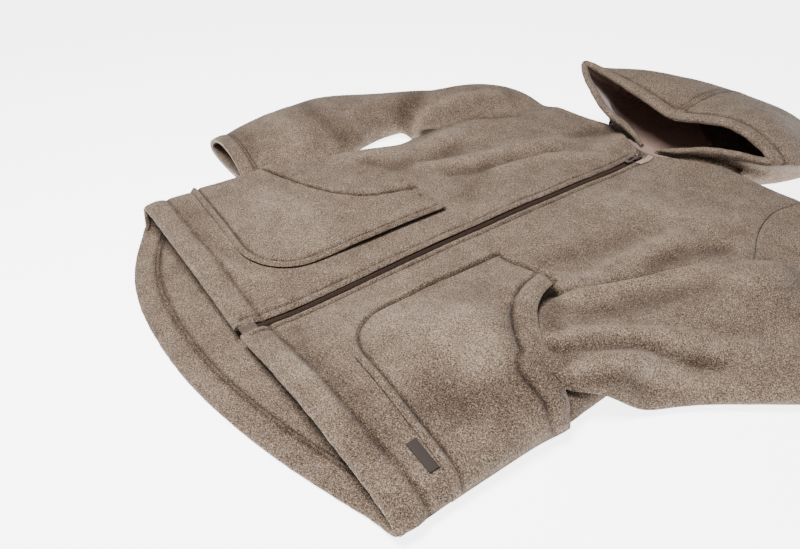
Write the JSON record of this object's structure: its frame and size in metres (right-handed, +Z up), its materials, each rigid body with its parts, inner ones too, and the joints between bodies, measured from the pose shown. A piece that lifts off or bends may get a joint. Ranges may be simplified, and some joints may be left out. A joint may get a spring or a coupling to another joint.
{
  "type": "hooded zip jacket",
  "caption": "Hooded fleece jacket laid flat on its back: front zip with pull tab, curved patch pockets, long sleeves, dropped back hem, and a raised lined hood.",
  "frame": {"origin": "on the flat underside of the back, below the lower end of the zip; the jacket lies on its back and its underside is at Z = 0", "axes": "+X towards the wearer's left along the hem, +Y from hem to neck along the zip, +Z up out of the surface it lies on"},
  "size_m": [0.9198, 0.931, 0.1139],
  "materials": {
    "fleece": "boiled-wool fleece, brown and beige heather",
    "jersey": "plain knitted jersey",
    "zip_tape": "woven tape",
    "zip_teeth": "coil of dark monofilament",
    "zip_box": "moulded end box",
    "zip_metal": "dull plated metal",
    "garage": "folded jersey facing",
    "label": "blank woven label"
  },
  "bodies": {
    "jacket": {"front_right": "fleece", "front_left": "fleece", "back": "fleece", "sleeve_right": "fleece", "sleeve_left": "fleece", "pocket_right": "fleece", "pocket_left": "fleece", "hood_right": "fleece", "hood_left": "fleece", "hood_lining_right": "jersey", "hood_lining_left": "jersey", "zip_tape_right": "zip_tape", "zip_tape_left": "zip_tape", "zip_chain": "zip_teeth", "zip_box": "zip_box", "zip_slider": "zip_metal", "zip_garage": "garage", "side_label": "label"},
    "pull_tab": {"zip_pull": "zip_metal"}
  },
  "joints": [
    {"name": "pull_hinge", "type": "hinge", "parent": "jacket", "child": "pull_tab", "pos_m": [0, 0.56658, 0.0395], "axis": [-1, 0, 0], "range_deg": [0, 100]}
  ]
}
